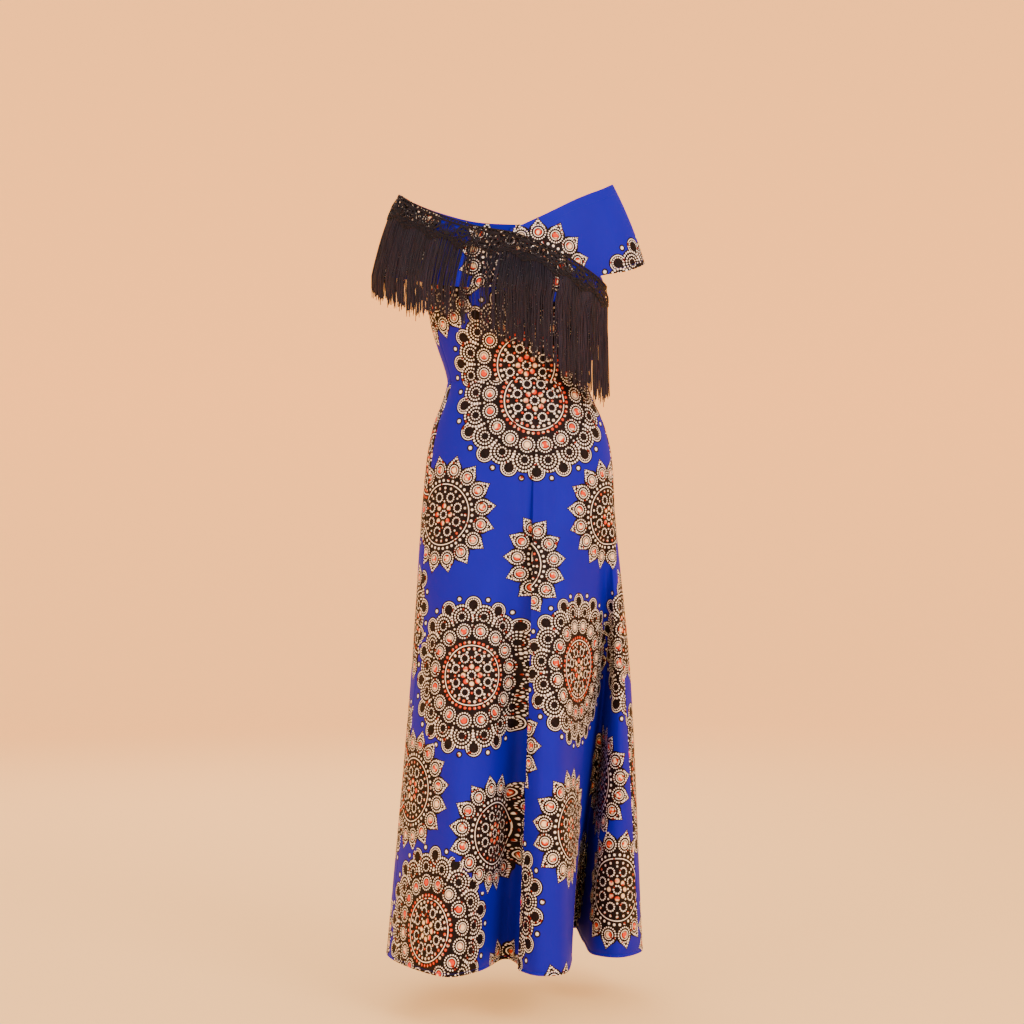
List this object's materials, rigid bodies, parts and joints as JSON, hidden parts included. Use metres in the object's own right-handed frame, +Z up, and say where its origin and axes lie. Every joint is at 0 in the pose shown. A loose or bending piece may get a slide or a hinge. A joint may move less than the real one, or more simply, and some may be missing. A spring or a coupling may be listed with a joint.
{
  "type": "ankara maxi dress",
  "caption": "Off-shoulder floor-length dress of wax-print cotton, with a fitted bodice, flared skirt, and lace and long fringe along the crossed neckline band.",
  "frame": {"origin": "on the wearer's body axis, level with the underarms, where the fitted bodice and the arms hold the dress up", "axes": "+Z up, the front faces -Y, +X is the wearer's left"},
  "size_m": [0.4795, 0.496, 1.3481],
  "materials": {
    "print_cotton": "printed cotton",
    "black_lace": "guipure lace",
    "black_fringe": "twisted viscose cord",
    "zip_tape": "woven tape",
    "zip_metal": "enamelled",
    "thread": "thread loop"
  },
  "bodies": {
    "dress": {"bodice_front": "print_cotton", "bodice_back_left": "print_cotton", "bodice_back_right": "print_cotton", "skirt_front": "print_cotton", "skirt_back_left": "print_cotton", "skirt_back_right": "print_cotton", "shoulder_band_right": "print_cotton", "shoulder_band_left": "print_cotton", "lace_trim": "black_lace", "fringe": "black_fringe", "zip_tape": "zip_tape", "zip_slider": "zip_metal", "belt_loop_right": "thread", "belt_loop_left": "thread"},
    "zip_pull": {"zip_tab": "zip_metal"}
  },
  "joints": [
    {"name": "zip_tab_hinge", "type": "hinge", "parent": "dress", "child": "zip_pull", "pos_m": [0, 0.09939, 0.106], "axis": [1, 0, 0], "range_deg": [0, 150]}
  ]
}
